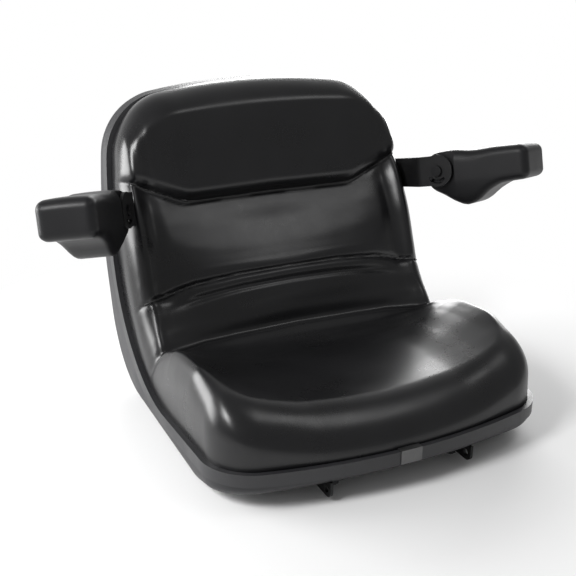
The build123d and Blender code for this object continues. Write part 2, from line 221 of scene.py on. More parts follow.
class Graph:
    """The node tree of a material or a world, with one method for every node."""

    def __init__(
        self, owner: bpy.types.Material | bpy.types.World, output: str = "ShaderNodeOutputMaterial"
    ) -> None:
        """Empties the owner's tree and gives it an output.

        Args:
            owner: The material or world.
            output: The type of its output node.
        """
        owner.use_nodes = True
        self.owner = owner
        self.tree = owner.node_tree
        self.tree.nodes.clear()
        self.output = self.tree.nodes.new(output)

    @classmethod
    def of_material(cls, name: str) -> "Graph":
        """The tree of a new material."""
        return cls(bpy.data.materials.new(name))

    def add(self, kind: str, settings: dict, inputs: dict, output: object = 0) -> Wire:
        """Adds a node.

        Args:
            kind: The node's type.
            settings: Its properties, set before its sockets; a list under "stops" fills its ramp.
            inputs: Socket name or number to a value or a Wire.
            output: The socket that is returned.

        Returns:
            A wire from the node's output.
        """
        node = self.tree.nodes.new(kind)
        for name, value in settings.items():
            if name == "stops":
                self._fill_ramp(node.color_ramp, value)
            else:
                setattr(node, name, value)
        for key, value in inputs.items():
            if isinstance(value, Wire):
                self.tree.links.new(value.socket, node.inputs[key])
            else:
                node.inputs[key].default_value = value
        return Wire(self, node.outputs[output])

    @staticmethod
    def _fill_ramp(ramp: bpy.types.ColorRamp, stops: list) -> None:
        """Sets a ramp's stops, each a place and a colour."""
        while len(ramp.elements) < len(stops):
            ramp.elements.new(0.5)
        for element, (place, colour) in zip(ramp.elements, stops):
            element.position = place
            element.color = colour

    def places(self) -> Wire:
        """Object coordinates."""
        return self.add("ShaderNodeTexCoord", {}, {}, "Object")

    def noise(self, scale: float, detail: float = 2.0, rough: float = 0.5) -> Wire:
        """Noise on Object coordinates, per metre."""
        sockets = {"Vector": self.places(), "Scale": scale, "Detail": detail, "Roughness": rough}
        return self.add("ShaderNodeTexNoise", {}, sockets, "Fac")

    def ramp(self, fac: Wire, low: float, high: float, bottom: tuple, top: tuple) -> Wire:
        """Two colours blended over a span of a value."""
        return self.add("ShaderNodeValToRGB", {"stops": [(low, bottom), (high, top)]}, {"Fac": fac}, "Color")

    def span(self, value: Wire, low: float, high: float, bottom: float, top: float) -> Wire:
        """A value taken from one span to another, held inside it."""
        sockets = {"Value": value, "From Min": low, "From Max": high, "To Min": bottom, "To Max": top}
        return self.add("ShaderNodeMapRange", {"clamp": True}, sockets, "Result")

    def bump(self, height: Wire, strength: float, depth: float, normal: Wire | None = None) -> Wire:
        """A Bump node, on top of another one if it is given."""
        sockets: dict = {"Height": height, "Strength": strength, "Distance": depth}
        if normal is not None:
            sockets["Normal"] = normal
        return self.add("ShaderNodeBump", {}, sockets, "Normal")

    def looked_at(self) -> tuple[Wire, Wire]:
        """Two switches: 1 for rays straight from the camera, and 1 for those by way of gloss or glass."""
        kinds = ("Is Camera Ray", "Is Glossy Ray", "Is Transmission Ray")
        camera, glossy, through_glass = (self.add("ShaderNodeLightPath", {}, {}, kind) for kind in kinds)
        return camera, glossy + through_glass

    def close(self, shader: Wire) -> bpy.types.Material | bpy.types.World:
        """Joins the last shader to the output and returns the tree's owner."""
        self.tree.links.new(shader.socket, self.output.inputs["Surface"])
        return self.owner

    def finish(self, sockets: dict) -> bpy.types.Material:
        """Ends a material's tree with the main shader."""
        return self.close(self.add("ShaderNodeBsdfPrincipled", {}, sockets, "BSDF"))


def opaque(rgb: tuple) -> tuple:
    """A colour with full alpha."""
    return (rgb[0], rgb[1], rgb[2], 1.0)


def scaled(rgb: tuple, factor: float) -> tuple:
    """A colour made lighter or darker, with full alpha."""
    return (rgb[0] * factor, rgb[1] * factor, rgb[2] * factor, 1.0)


@dataclass(frozen=True)
class SoftSkin:
    """Moulded vinyl or foam skin: fine leather grain, faint cloudiness, a satin shine."""

    name: str
    colour: tuple
    gloss_low: float
    gloss_high: float
    grain_scale: float
    grain_depth: float
    shine: float
    cloud_scale: float = 9.0
    cloud_span: tuple = (0.3, 0.75)
    darkest: float = 0.85
    lightest: float = 1.2
    grain_share: float = 0.25
    gloss_span: tuple = (0.35, 0.9)
    swell_scale: float = 26.0
    swell_strength: float = 0.06
    swell_depth: float = 0.004
    grain_strength: float = 0.08

    def material(self) -> bpy.types.Material:
        """The finish as a material."""
        graph = Graph.of_material(self.name)
        clouds = graph.noise(self.cloud_scale, detail=3.0)
        grain = graph.noise(self.grain_scale, detail=4.0, rough=0.6)
        dark, light = scaled(self.colour, self.darkest), scaled(self.colour, self.lightest)
        colour = graph.ramp(clouds, *self.cloud_span, dark, light)
        mixed = clouds + grain * self.grain_share
        rough = graph.span(mixed, *self.gloss_span, self.gloss_low, self.gloss_high)
        swell = graph.bump(graph.noise(self.swell_scale, detail=1.0), self.swell_strength, self.swell_depth)
        normal = graph.bump(grain, self.grain_strength, self.grain_depth, swell)
        return graph.finish(
            {
                "Base Color": colour,
                "Roughness": rough,
                "Normal": normal,
                "Specular IOR Level": self.shine,
            }
        )


@dataclass(frozen=True)
class PaintedSteel:
    """Satin paint over pressed steel: faint orange peel, dust in the clouds."""

    name: str
    colour: tuple
    rough: float
    cloud_scale: float = 14.0
    cloud_span: tuple = (0.35, 0.8)
    lightest: float = 1.5
    gloss_span: tuple = (0.3, 0.8)
    smoother: float = 0.05
    rougher: float = 0.12
    peel_scale: float = 620.0
    peel_strength: float = 0.12
    peel_depth: float = 0.0006
    shine: float = 0.3

    def material(self) -> bpy.types.Material:
        """The finish as a material."""
        graph = Graph.of_material(self.name)
        clouds = graph.noise(self.cloud_scale, detail=4.0, rough=0.55)
        peel = graph.noise(self.peel_scale, detail=2.0)
        light = scaled(self.colour, self.lightest)
        colour = graph.ramp(clouds, *self.cloud_span, opaque(self.colour), light)
        low, high = self.rough - self.smoother, self.rough + self.rougher
        return graph.finish(
            {
                "Base Color": colour,
                "Roughness": graph.span(clouds, *self.gloss_span, low, high),
                "Normal": graph.bump(peel, self.peel_strength, self.peel_depth),
                "Specular IOR Level": self.shine,
            }
        )


@dataclass(frozen=True)
class PlatedSteel:
    """Bright or zinc-plated steel with fine unevenness and dull patches."""

    name: str
    colour: tuple
    rough: float
    patch_scale: float = 60.0
    patch_span: tuple = (0.35, 0.75)
    darkest: float = 0.8
    fine_share: float = 0.3
    gloss_span: tuple = (0.4, 1.0)
    smoother: float = 0.06
    rougher: float = 0.16
    fine_scale: float = 900.0
    fine_strength: float = 0.08
    fine_depth: float = 0.0003

    def material(self) -> bpy.types.Material:
        """The finish as a material."""
        graph = Graph.of_material(self.name)
        patches = graph.noise(self.patch_scale, detail=4.0, rough=0.6)
        fine = graph.noise(self.fine_scale, detail=2.0)
        dark = scaled(self.colour, self.darkest)
        colour = graph.ramp(patches, *self.patch_span, dark, opaque(self.colour))
        low, high = self.rough - self.smoother, self.rough + self.rougher
        return graph.finish(
            {
                "Base Color": colour,
                "Metallic": 1.0,
                "Roughness": graph.span(patches + fine * self.fine_share, *self.gloss_span, low, high),
                "Normal": graph.bump(fine, self.fine_strength, self.fine_depth),
            }
        )


@dataclass(frozen=True)
class MouldedPlastic:
    """Extruded or moulded plastic: fine texture, slight colour drift."""

    name: str
    colour: tuple
    rough: float
    texture_scale: float
    texture_strength: float = 0.15
    texture_depth: float = 0.0005
    drift_scale: float = 20.0
    drift_span: tuple = (0.3, 0.75)
    darkest: float = 0.88
    lightest: float = 1.15
    smoother: float = 0.05
    rougher: float = 0.08

    def material(self) -> bpy.types.Material:
        """The finish as a material."""
        graph = Graph.of_material(self.name)
        drift = graph.noise(self.drift_scale, detail=3.0)
        texture = graph.noise(self.texture_scale, detail=3.0, rough=0.6)
        dark, light = scaled(self.colour, self.darkest), scaled(self.colour, self.lightest)
        low, high = self.rough - self.smoother, self.rough + self.rougher
        return graph.finish(
            {
                "Base Color": graph.ramp(drift, *self.drift_span, dark, light),
                "Roughness": graph.span(drift, *self.drift_span, low, high),
                "Normal": graph.bump(texture, self.texture_strength, self.texture_depth),
            }
        )


@dataclass
class DeckLine:
    """The pan's edge seen from the side: the seat's run, the heel's arc and the back's run."""

    front_y: float = -25.0
    front_z: float = 44.0
    fall: float = math.radians(4.5)
    run: float = 423.0
    recline: float = math.radians(20.7)
    heel_radius: float = 220.0
    top_z: float = 447.0

    def __post_init__(self) -> None:
        """Works out where the three runs meet."""
        turn = math.pi / 2 - self.recline + self.fall
        tangent = self.heel_radius * math.tan(turn / 2)
        heel = np.array([self.front_y + self.run, self.front_z - self.run * math.tan(self.fall)])
        self.along = np.array([math.cos(self.fall), -math.sin(self.fall)])
        self.up = np.array([math.sin(self.recline), math.cos(self.recline)])
        self.seat_length = self.run / math.cos(self.fall) - tangent
        self.arc_length = self.heel_radius * turn
        self.start = np.array([self.front_y, self.front_z])
        arc_start = self.start + self.along * self.seat_length
        self.centre = arc_start + self.heel_radius * np.array([math.sin(self.fall), math.cos(self.fall)])
        self.back_start = heel + self.up * tangent
        self.back_from = self.seat_length + self.arc_length
        self.length = self.back_from + (self.top_z - self.back_start[1]) / math.cos(self.recline)

    def from_y(self, y: np.ndarray) -> np.ndarray:
        """The distance along the line of a place on the seat's run."""
        return (np.asarray(y, float) - self.front_y) / math.cos(self.fall)

    def from_z(self, z: np.ndarray) -> np.ndarray:
        """The distance along the line of a place on the back's run."""
        return self.length - (self.top_z - np.asarray(z, float)) / math.cos(self.recline)

    def place(self, x: np.ndarray, s: np.ndarray, height: np.ndarray) -> np.ndarray:
        """Points a given height off the line's sheet, towards the sitter.

        Args:
            x: Places across.
            s: Distances along the line.
            height: Heights off the sheet.

        Returns:
            An array of points in metres.
        """
        bend = np.clip((s - self.seat_length) / self.heel_radius, 0.0, self.arc_length / self.heel_radius)
        angle = bend - self.fall
        normal = np.stack([-np.sin(angle), np.cos(angle)], 1)
        on_seat = self.start + self.along * s[:, None]
        on_arc = self.centre - self.heel_radius * normal
        on_back = self.back_start + self.up * (s - self.back_from)[:, None]
        base = np.where((s < self.seat_length)[:, None], on_seat, on_arc)
        base = np.where((s > self.back_from)[:, None], on_back, base)
        point = base + normal * height[:, None]
        return np.stack([x, point[:, 0], point[:, 1]], 1) * MM


@dataclass
class CushionOutline:
    """The cushion's outline on the flattened deck: bowed front, drawn-in sides, arched top."""

    deck: DeckLine
    inset: float = 6.4
    half_width: float = 264.0
    bow_radius: float = 770.0
    front_corner: float = 80.0
    taper_z: float = 155.0
    taper_radius: float = 1250.0
    arch_radius: float = 1100.0
    top_corner: float = 107.0
    top_swell: float = 6.0
    swell_span: tuple = (380.0, 430.0)
    bow_points: int = 100
    corner_points: int = 60
    straight_points: int = 200
    taper_points: int = 110
    arch_points: int = 90
    search_points: int = 4000
    batch: int = 2000

    def right_half(self) -> tuple[np.ndarray, int, int]:
        """The right half from the front's middle to the top's middle.

        Returns:
            Points (x, s), and the numbers of the points at the middle of the front and top corners.
        """
        half = self.half_width - self.inset
        front = self.deck.front_y + self.inset
        bow = self.bow_radius - self.inset
        corner = self.front_corner - self.inset
        cx = half - corner
        cy = front + bow - math.sqrt((bow - corner) ** 2 - cx**2)
        lean = math.atan2(cx, front + bow - cy)
        t = np.linspace(0.0, lean, self.bow_points)
        front_run = np.stack([bow * np.sin(t), front + bow - bow * np.cos(t)], 1)
        t = np.linspace(lean, math.pi / 2, self.corner_points)
        corner_run = np.stack([cx + corner * np.sin(t), cy - corner * np.cos(t)], 1)
        low = np.concatenate([front_run, corner_run[1:]])
        low[:, 1] = self.deck.from_y(low[:, 1])
        front_mark = len(front_run) - 1 + self.corner_points // 2
        side = self.taper_radius - self.inset
        arch = self.arch_radius - self.inset
        top = self.deck.top_z - self.inset
        round_top = self.top_corner - self.inset
        z = np.linspace(self.taper_z, top, self.search_points)
        kx = half - side + np.sqrt((side - round_top) ** 2 - (z - self.taper_z) ** 2)
        miss = np.hypot(kx, z - (top - arch)) - (arch - round_top)
        best = int(np.argmin(np.abs(miss)))
        kx, kz = float(kx[best]), float(z[best])
        leave = math.atan2(kz - self.taper_z, kx - (half - side))
        t = np.linspace(0.0, leave, self.taper_points)
        taper_run = np.stack([half - side + side * np.cos(t), self.taper_z + side * np.sin(t)], 1)
        arrive = math.atan2(kz - (top - arch), kx)
        t = np.linspace(leave, arrive, self.corner_points)
        round_run = np.stack([kx + round_top * np.cos(t), kz + round_top * np.sin(t)], 1)
        t = np.linspace(arrive, math.pi / 2, self.arch_points)
        arch_run = np.stack([arch * np.cos(t), top - arch + arch * np.sin(t)], 1)
        high = np.concatenate([taper_run, round_run[1:], arch_run[1:]])
        swell = self.top_swell * ease(high[:, 1], *self.swell_span)
        high[:, 1] = self.deck.from_z(high[:, 1]) + swell
        straight_s = np.linspace(low[-1, 1], high[0, 1], self.straight_points)[1:-1]
        straight = np.stack([np.full_like(straight_s, half), straight_s], 1)
        points = np.concatenate([low, straight, high])
        top_mark = len(low) + len(straight) + len(taper_run) - 1 + self.corner_points // 2
        return points, front_mark, top_mark

    @staticmethod
    def along(points: np.ndarray, share: np.ndarray) -> np.ndarray:
        """Points at shares of a line's length."""
        steps = np.hypot(*np.diff(points, axis=0).T)
        run = np.concatenate([[0.0], np.cumsum(steps)]) / steps.sum()
        return np.stack([np.interp(share, run, points[:, k]) for k in range(2)], 1)

    def patch(self, a: np.ndarray, b: np.ndarray) -> np.ndarray:
        """Places inside the outline.

        Args:
            a: Shares across, 0 to 1.
            b: Shares along, 0 to 1.

        Returns:
            Points (x, s).
        """
        points, front_mark, top_mark = self.right_half()
        flip = np.array([-1.0, 1.0])
        front = np.concatenate([(points[: front_mark + 1] * flip)[::-1], points[1 : front_mark + 1]])
        top = np.concatenate([(points[top_mark:] * flip), points[top_mark:][::-1][1:]])
        side = points[front_mark : top_mark + 1]
        right = self.along(side, b)
        left = right * flip
        low, high = self.along(front, a), self.along(top, a)
        a, b = a[:, None], b[:, None]
        front_pair = (1 - a) * (1 - b) * front[0] + a * (1 - b) * front[-1]
        corners = front_pair + (1 - a) * b * top[0] + a * b * top[-1]
        return (1 - a) * left + a * right + (1 - b) * low + b * high - corners

    def distance(self, x: np.ndarray, s: np.ndarray) -> np.ndarray:
        """How far inside the outline each place is."""
        points, _, _ = self.right_half()
        start, run = points[:-1], np.diff(points, axis=0)
        square = (run**2).sum(1)
        nearest = np.empty(x.size)
        for first in range(0, x.size, self.batch):
            part = slice(first, first + self.batch)
            dx = np.abs(x[part])[:, None] - start[:, 0]
            ds = s[part][:, None] - start[:, 1]
            share = np.clip((dx * run[:, 0] + ds * run[:, 1]) / square, 0.0, 1.0)
            nearest[part] = np.hypot(dx - share * run[:, 0], ds - share * run[:, 1]).min(1)
        return nearest


@dataclass
class Cushion:
    """The one-piece moulded cushion: dished seat with side bolsters, lumbar panel and proud upper panel."""

    deck: DeckLine
    columns: int = 156
    rows: int = 240
    crowding: float = 0.35
    row_crowding: float = 0.21
    foot: float = -7.0
    wall_cuts: int = 4
    bead_radius: float = 1.3
    stations: tuple = (0.0, 110.0, 165.0, 205.0, 222.0, 238.0, 262.0)
    profiles: tuple = (
        (
            (0, 58), (30, 62), (55, 64), (85, 64.5), (120, 64), (170, 63.5), (220, 62), (255, 59),
            (310, 53), (355, 49), (385, 52), (410, 66), (440, 82), (470, 91), (500, 95), (530, 93),
            (560, 84), (600, 68), (640, 52), (680, 47), (740, 51), (800, 54), (850, 54),
        ),
        (
            (0, 60), (30, 65), (55, 68), (85, 69), (120, 70), (170, 71.5), (220, 70), (255, 66),
            (310, 58), (350, 51), (380, 53), (408, 66), (440, 80), (470, 87), (500, 90), (530, 90),
            (560, 84), (600, 71), (640, 58), (680, 53), (740, 56), (800, 58), (850, 58),
        ),
        (
            (0, 66), (30, 72), (55, 77), (85, 79), (120, 81), (170, 83), (220, 81), (255, 76),
            (310, 65), (345, 57), (375, 56), (405, 67), (440, 77), (470, 82), (500, 86), (530, 88),
            (570, 83), (610, 73), (650, 62), (690, 58), (740, 60), (800, 62), (850, 62),
        ),
        (
            (0, 72), (30, 80), (55, 86), (85, 90), (120, 94), (170, 97), (220, 95), (260, 88),
            (310, 74), (345, 61), (370, 58), (400, 67), (440, 76), (480, 80), (530, 84), (580, 82),
            (630, 73), (680, 62), (720, 60), (760, 62), (800, 64), (850, 64),
        ),
        (
            (0, 76), (30, 85), (55, 91), (85, 96), (115, 100), (167, 105), (220, 103), (255, 97),
            (300, 84), (335, 69), (360, 60), (395, 68), (440, 78), (480, 81), (530, 86), (580, 86),
            (630, 79), (690, 68), (740, 66), (800, 66), (850, 66),
        ),
        (
            (0, 80), (22, 90), (38, 93), (67, 99), (115, 107), (167, 112), (220, 110), (255, 104),
            (300, 92), (330, 79), (354, 64), (390, 71), (440, 81), (471, 85), (520, 91), (580, 92),
            (640, 87), (690, 78), (740, 74), (800, 72), (850, 70),
        ),
        (
            (0, 82), (22, 91), (38, 95), (67, 102), (115, 111), (167, 116), (220, 114), (255, 108),
            (300, 95), (330, 80), (354, 64), (390, 71), (440, 81), (471, 85), (520, 91), (580, 92),
            (640, 87), (690, 78), (740, 74), (800, 72), (850, 70),
        ),
    )
    upper_seam: tuple = ((0, 650), (138, 648), (150, 649.5), (201, 670), (239.5, 690), (262, 700))
    lower_seam: tuple = ((0, 509), (90, 507), (163, 499), (213, 485), (248, 471), (262, 465))
    crease: tuple = ((0, 388), (110, 383), (165, 376), (205, 364), (238, 354), (262, 350))
    panel_rise: tuple = ((0, 27), (147, 26), (201, 22), (240, 12), (256, 8))
    panel_roll: float = 24.0
    nip_depth: float = 3.5
    nip_reach: float = 7.0
    seam_depth: float = 8.0
    seam_reach: float = 17.0
    seam_fade: float = 0.6
    seam_fade_span: tuple = (215.0, 250.0)
    tuck_depth: float = 4.0
    tuck_below: float = 36.0
    tuck_width: float = 9.0
    tuck_span: tuple = (215.0, 150.0)
    groove_at: float = 213.0
    groove_width: float = 15.0
    groove_depth: float = 6.0
    groove_start: tuple = (455.0, 500.0)
    groove_end: tuple = (10.0, -25.0)
    crease_depth: float = 5.0
    crease_width: float = 10.0
    edge_radius: float = 24.0
    edge_radius_steps: tuple = ((54.0, 170.0, 20.0), (8.0, 380.0, 450.0), (40.0, 745.0, 830.0))
    edge_drop: float = 58.0
    edge_drop_steps: tuple = ((10.0, 60.0, 140.0), (-18.0, 300.0, 450.0), (12.0, 700.0, 800.0))
    upper_bead: tuple = (236.0, 1.4)
    lower_bead: tuple = (246.0, 1.6)
    bead_points: int = 241
    bead_smoothing: int = 6
    outline: CushionOutline = field(init=False)

    def __post_init__(self) -> None:
        """Lays the outline on the deck."""
        self.outline = CushionOutline(self.deck)

    @staticmethod
    def across_at(table: tuple, x: np.ndarray) -> np.ndarray:
        """What a table of places across says at each place: where a seam lies, or how far a panel rises."""
        knots = np.array(table)
        return np.interp(np.abs(x), knots[:, 0], knots[:, 1])

    def smooth_height(self, x: np.ndarray, s: np.ndarray) -> np.ndarray:
        """The height of the main form, before its seams and rounded edge."""
        across = np.stack([through(*np.array(p, float).T, s) for p in self.profiles])
        return through(np.array(self.stations), across, np.abs(x))

    def height(self, x: np.ndarray, s: np.ndarray) -> np.ndarray:
        """The height with seams, grooves and creases, before the rounded edge.

        Args:
            x: Places across.
            s: Distances along the deck.

        Returns:
            Heights off the deck.
        """
        ax = np.abs(x)
        h = self.smooth_height(x, s)
        above = s - self.across_at(self.upper_seam, x)
        rise = self.across_at(self.panel_rise, x)
        nip = self.nip_depth * np.exp(-np.abs(above) / self.nip_reach)
        h = h + rise * rolled(above, self.panel_roll) - nip
        off = s - self.across_at(self.lower_seam, x)
        side_fade = 1.0 - self.seam_fade * ease(ax, *self.seam_fade_span)
        h = h - self.seam_depth * side_fade * (1.0 - rolled(np.abs(off), self.seam_reach))
        tuck = bell(off + self.tuck_below, self.tuck_width)
        h = h - self.tuck_depth * tuck * ease(ax, *self.tuck_span)
        groove = bell(ax - self.groove_at, self.groove_width)
        h = h - self.groove_depth * groove * ease(s, *self.groove_start) * ease(above, *self.groove_end)
        return h - self.crease_depth * bell(s - self.across_at(self.crease, x), self.crease_width)

    @staticmethod
    def stepped(base: float, steps: tuple, s: np.ndarray) -> np.ndarray:
        """A size that changes along the deck.

        Args:
            base: The size before any step.
            steps: Each step's change, and where it starts and ends.
            s: Distances along the deck.

        Returns:
            The size at each distance.
        """
        size = np.full_like(s, base)
        for change, start, end in steps:
            size = size + change * ease(s, start, end)
        return size

    def surface(self, x: np.ndarray, s: np.ndarray) -> np.ndarray:
        """The finished height, edge rounding included."""
        inside = self.outline.distance(x, s)
        radius = self.stepped(self.edge_radius, self.edge_radius_steps, s)
        drop = self.stepped(self.edge_drop, self.edge_drop_steps, s)
        return self.height(x, s) - drop * (1.0 - rolled(inside, radius))

    def build(self) -> bpy.types.Object:
        """Models the cushion from a grid laid on the deck and drawn up to its surface.

        Returns:
            The cushion's object.
        """
        bm = bmesh.new()
        bmesh.ops.create_grid(bm, x_segments=self.columns, y_segments=self.rows, size=1.0)
        base = list(bm.verts)
        grid = read_points(base)
        a = (spread(grid[:, 0], self.crowding) + 1.0) / 2.0
        b = (spread(grid[:, 1], self.row_crowding) + 1.0) / 2.0
        flat = self.outline.patch(a, b)
        x, s = flat[:, 0], flat[:, 1]
        set_points(base, self.deck.place(x, s, np.full_like(x, self.foot)))
        lifted = bmesh.ops.extrude_face_region(bm, geom=list(bm.faces))["geom"]
        top = [v for v in lifted if isinstance(v, bmesh.types.BMVert)]
        # The extruded vertices still stand on the ones that they came from
        spots = {spot_of(v): k for k, v in enumerate(base)}
        order = np.array([spots[spot_of(v)] for v in top])
        set_points(top, self.deck.place(x[order], s[order], self.surface(x[order], s[order])))
        upper = set(top)
        walls = [e for e in bm.edges if (e.verts[0] in upper) != (e.verts[1] in upper)]
        bmesh.ops.subdivide_edges(bm, edges=walls, cuts=self.wall_cuts, use_grid_fill=True)
        return finished_object("cushion_moulding", bm)

    def bead(self, name: str, seam: tuple, reach: float, lift: float) -> bpy.types.Object:
        """A thin welded bead along a seam.

        Args:
            name: The piece's name.
            seam: The seam's points.
            reach: How far it runs to each side.
            lift: How far its middle stands off the cushion.

        Returns:
            The bead's object.
        """
        x = np.linspace(-reach, reach, self.bead_points)
        window = 2 * self.bead_smoothing + 1
        padded = np.pad(self.across_at(seam, x), self.bead_smoothing, mode="edge")
        s = np.convolve(padded, np.ones(window) / window, mode="valid")
        points = self.deck.place(x, s, self.surface(x, s) + lift)
        curve = bpy.data.curves.new(name, "CURVE")
        curve.dimensions = "3D"
        curve.bevel_depth = self.bead_radius * MM
        curve.bevel_resolution = 2
        curve.use_fill_caps = True
        line = curve.splines.new("POLY")
        line.points.add(len(points) - 1)
        for knot, point in zip(line.points, points):
            knot.co = (*point, 1.0)
        drawn = bpy.data.objects.new(name + "_line", curve)
        bpy.context.scene.collection.objects.link(drawn)
        graph = bpy.context.evaluated_depsgraph_get()
        mesh = bpy.data.meshes.new_from_object(drawn.evaluated_get(graph))
        bpy.data.objects.remove(drawn)
        mesh.name = name
        for polygon in mesh.polygons:
            polygon.use_smooth = True
        obj = bpy.data.objects.new(name, mesh)
        bpy.context.scene.collection.objects.link(obj)
        return obj

    def dress_up(self, skin: bpy.types.Material, bead_painted_highlight: bpy.types.Material) -> None:
        """Builds the cushion and its beads, gives them their finish and sets them on the seat."""
        cushion = self.build()
        dress(cushion, skin)
        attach(cushion, SEAT_BODY)
        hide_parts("cushion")
        LOG.info("cushion: %d faces", len(cushion.data.polygons))
        for name, seam, sizes in (
            ("upper_seam_bead", self.upper_seam, self.upper_bead),
            ("lower_seam_bead", self.lower_seam, self.lower_bead),
        ):
            bead = self.bead(name, seam, *sizes)
            # The beads' light grey is a painted highlight along the seams.
            dress(bead, bead_painted_highlight)
            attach(bead, SEAT_BODY)
            LOG.info("%s: %d faces", name, len(bead.data.polygons))


@dataclass
class ArmPad:
    """One moulded arm pad: wavy top, belly under its middle, cut back at its root for the bracket's ear."""

    side: Side
    pivot: tuple = (267.5, 350.188, 311.79)
    splay: float = math.radians(31.5)
    recline: float = math.radians(15.1)
    back: float = -20.0
    front: float = 157.0
    width: float = 84.0
    half_height: float = 30.0
    edge: float = 13.0
    rebate_end: float = 31.5
    rebate_depth: float = 7.2
    cap_radius: float = 13.6
    cap_face: float = 74.0
    cuts: int = 27
    crowding: float = 0.3
    draw_in: float = 0.18
    draw_in_span: tuple = (15.0, 60.0)
    crown: float = 1.5
    cutter: float = 160.0
    pocket_sides: int = 48
    sharp_from: float = math.radians(50.0)
    top: tuple = ((-20, 26), (0, 30), (25, 31.5), (60, 28.5), (105, 31), (140, 31), (157, 28))
    bottom: tuple = ((-20, -32), (0, -40), (25, -55), (43, -61), (60, -57), (88, -38), (112, -28), (157, -24))

    def axes(self) -> Matrix:
        """The pad's own frame: forward, up, inward and the pivot, for the right side."""
        out = Vector((0.0, math.cos(self.recline), -math.sin(self.recline)))
        forward = Vector((1, 0, 0)) * math.sin(self.splay) - out * math.cos(self.splay)
        inward = Vector((1, 0, 0)) * -math.cos(self.splay) - out * math.sin(self.splay)
        up = inward.cross(forward)
        frame = Matrix((forward, up, inward)).transposed().to_4x4()
        frame.translation = Vector(self.pivot)
        return frame

    def build(self) -> bpy.types.Object:
        """Models the pad from a cube that is rounded and drawn to its side view.

        Returns:
            The pad's object.
        """
        bm = bmesh.new()
        bmesh.ops.create_cube(bm, size=2.0)
        bmesh.ops.subdivide_edges(bm, edges=bm.edges, cuts=self.cuts, use_grid_fill=True)
        verts = list(bm.verts)
        q = spread(read_points(verts), self.crowding)
        half = np.array([(self.front - self.back) / 2, self.half_height, self.width / 2])
        box = q * half
        core = np.clip(box, -(half - self.edge), half - self.edge)
        out = box - core
        size = np.linalg.norm(out, axis=1)
        reach = np.abs(out).max(1)
        out = out / np.where(size > 0, size, 1.0)[:, None] * reach[:, None]
        box = core + out
        x = box[:, 0] + (self.front + self.back) / 2
        top = through(*np.array(self.top, float).T, x)
        bottom = through(*np.array(self.bottom, float).T, x)
        v = box[:, 1] / half[1]
        y = (top + bottom) / 2 + v * (top - bottom) / 2
        z = box[:, 2] - self.width / 2
        draw_in = self.draw_in * ease(-y, *self.draw_in_span)
        z = -self.width / 2 + (z + self.width / 2) * (1.0 - draw_in)
        y = y + self.crown * np.cos(np.pi * np.clip(box[:, 2] / half[2], -1, 1) / 2) * (v > 0) * v
        set_points(verts, np.stack([x, y, z], 1))
        pad = self.settled("pad_moulding", bm)
        self.cut_root(pad)
        return pad

    def settled(self, name: str, bm: bmesh.types.BMesh) -> bpy.types.Object:
        """Takes a shape from the pad's own frame to its side of the seat.

        Args:
            name: The piece's name without its side.
            bm: The shape in millimetres, in the pad's frame; it is freed.

        Returns:
            The new object.
        """
        bmesh.ops.transform(bm, matrix=Matrix.Scale(MM, 4) @ self.axes(), verts=bm.verts)
        if self.side is Side.LEFT:
            bmesh.ops.scale(bm, vec=(-1.0, 1.0, 1.0), verts=bm.verts)
        return finished_object(f"{self.side.prefix}_{name}", bm)

    def cut_root(self, pad: bpy.types.Object) -> None:
        """Cuts the rebate for the bracket's ear and the pocket for the pivot's cap into the pad's root."""
        reach = self.cutter
        bm = bmesh.new()
        bmesh.ops.create_cube(bm, size=reach)
        middle = (self.rebate_end - reach / 2, 0.0, reach / 2 - self.rebate_depth)
        bmesh.ops.translate(bm, vec=middle, verts=bm.verts)
        self.cut(pad, self.settled("rebate_cutter", bm))
        bm = bmesh.new()
        radii = {"radius1": self.cap_radius, "radius2": self.cap_radius}
        bmesh.ops.create_cone(bm, cap_ends=True, segments=self.pocket_sides, depth=reach, **radii)
        bmesh.ops.translate(bm, vec=(0.0, 0.0, -self.cap_face - reach / 2), verts=bm.verts)
        self.cut(pad, self.settled("pocket_cutter", bm))

    def cut(self, pad: bpy.types.Object, cutter: bpy.types.Object) -> None:
        """Takes one shape out of the pad and deletes it."""
        taken = pad.modifiers.new("cut", "BOOLEAN")
        taken.operation = "DIFFERENCE"
        taken.solver = "EXACT"
        taken.object = cutter
        graph = bpy.context.evaluated_depsgraph_get()
        whole, pad.data = pad.data, bpy.data.meshes.new_from_object(pad.evaluated_get(graph))
        pad.modifiers.clear()
        pad.data.set_sharp_from_angle(angle=self.sharp_from)
        bpy.data.meshes.remove(whole)
        bpy.data.objects.remove(cutter)

    def dress_up(self, skin: bpy.types.Material) -> None:
        """Builds the pad, gives it its finish and sets it on its arm."""
        pad = self.build()
        dress(pad, skin)
        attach(pad, f"{self.side.prefix}_arm")
        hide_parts(f"{self.side.prefix}_arm_pad")
        LOG.info("%s: %d faces", pad.name, len(pad.data.polygons))


@dataclass(frozen=True)
class Upholstery:
    """Finishes for the soft pieces and the seams."""

    vinyl: SoftSkin = SoftSkin("seat_vinyl_skin", (0.006, 0.006, 0.0068), 0.24, 0.36, 147.0, 0.0004, 0.5)
    # The seam beads' grey is ten times lighter than the vinyl and kept matt: it is a painted highlight along
    # the seams.
    bead: SoftSkin = SoftSkin("seam_bead_skin", (0.06, 0.06, 0.06), 0.55, 0.65, 280.0, 0.0002, 0.2)
    pad: SoftSkin = SoftSkin("arm_pad_skin", (0.008, 0.008, 0.009), 0.36, 0.5, 196.0, 0.0005, 0.3)

    def dress_up(self) -> None:
        """Builds the cushion and both pads with their finishes."""
        Cushion(DeckLine()).dress_up(self.vinyl.material(), self.bead.material())
        pad_skin = self.pad.material()
        for side in Side:
            ArmPad(side).dress_up(pad_skin)


